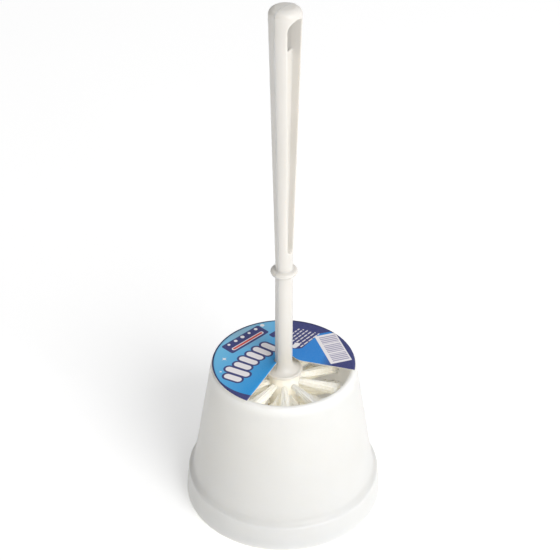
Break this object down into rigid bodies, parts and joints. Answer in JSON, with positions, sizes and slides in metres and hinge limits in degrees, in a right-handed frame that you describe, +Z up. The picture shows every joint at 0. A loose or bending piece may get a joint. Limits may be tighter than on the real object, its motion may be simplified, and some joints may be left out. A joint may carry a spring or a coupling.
{
  "type": "toilet brush holder",
  "caption": "Free-standing conical plastic toilet brush holder with a stepped base, a lift-out brush with a grooved handle and hanging hole, and a printed card disc on its rim.",
  "frame": {"origin": "centre of the base on the surface it stands on", "axes": "+Z up along the common axis of holder and brush; -Y is the side the handle's groove faces; +X to its right seen from the front"},
  "size_m": [0.14, 0.14, 0.372],
  "materials": {
    "holder_plastic": "satin white polypropylene",
    "handle_plastic": "satin white polypropylene",
    "head_plastic": "warm white, slightly matt moulding",
    "bristle": "bundled warm white filaments",
    "printed_card": null
  },
  "bodies": {
    "holder": {"base_plate": "holder_plastic", "holder_shell": "holder_plastic"},
    "brush": {"handle": "handle_plastic", "brush_core": "head_plastic", "end_tuft": "bristle", "tuft_r1_01": "bristle", "tuft_r1_02": "bristle", "tuft_r1_03": "bristle", "tuft_r1_04": "bristle", "tuft_r1_05": "bristle", "tuft_r1_06": "bristle", "tuft_r1_07": "bristle", "tuft_r1_08": "bristle", "tuft_r1_09": "bristle", "tuft_r1_10": "bristle", "tuft_r2_01": "bristle", "tuft_r2_02": "bristle", "tuft_r2_03": "bristle", "tuft_r2_04": "bristle", "tuft_r2_05": "bristle", "tuft_r2_06": "bristle", "tuft_r2_07": "bristle", "tuft_r2_08": "bristle", "tuft_r2_09": "bristle", "tuft_r2_10": "bristle", "tuft_r3_01": "bristle", "tuft_r3_02": "bristle", "tuft_r3_03": "bristle", "tuft_r3_04": "bristle", "tuft_r3_05": "bristle", "tuft_r3_06": "bristle", "tuft_r3_07": "bristle", "tuft_r3_08": "bristle", "tuft_r3_09": "bristle", "tuft_r3_10": "bristle", "tuft_r4_01": "bristle", "tuft_r4_02": "bristle", "tuft_r4_03": "bristle", "tuft_r4_04": "bristle", "tuft_r4_05": "bristle", "tuft_r4_06": "bristle", "tuft_r4_07": "bristle", "tuft_r4_08": "bristle", "tuft_r4_09": "bristle", "tuft_r4_10": "bristle", "tuft_r5_01": "bristle", "tuft_r5_02": "bristle", "tuft_r5_03": "bristle", "tuft_r5_04": "bristle", "tuft_r5_05": "bristle", "tuft_r5_06": "bristle", "tuft_r5_07": "bristle", "tuft_r5_08": "bristle", "tuft_r5_09": "bristle", "tuft_r5_10": "bristle"},
    "card": {"label_card": "printed_card"}
  },
  "joints": [
    {"name": "brush_lift", "type": "slide", "parent": "holder", "child": "brush", "axis": [0, 0, 1], "range_m": [0, 0.12]},
    {"name": "card_slide", "type": "slide", "parent": "brush", "child": "card", "axis": [0.454, 0.891, 0], "range_m": [0, 0.1]}
  ]
}
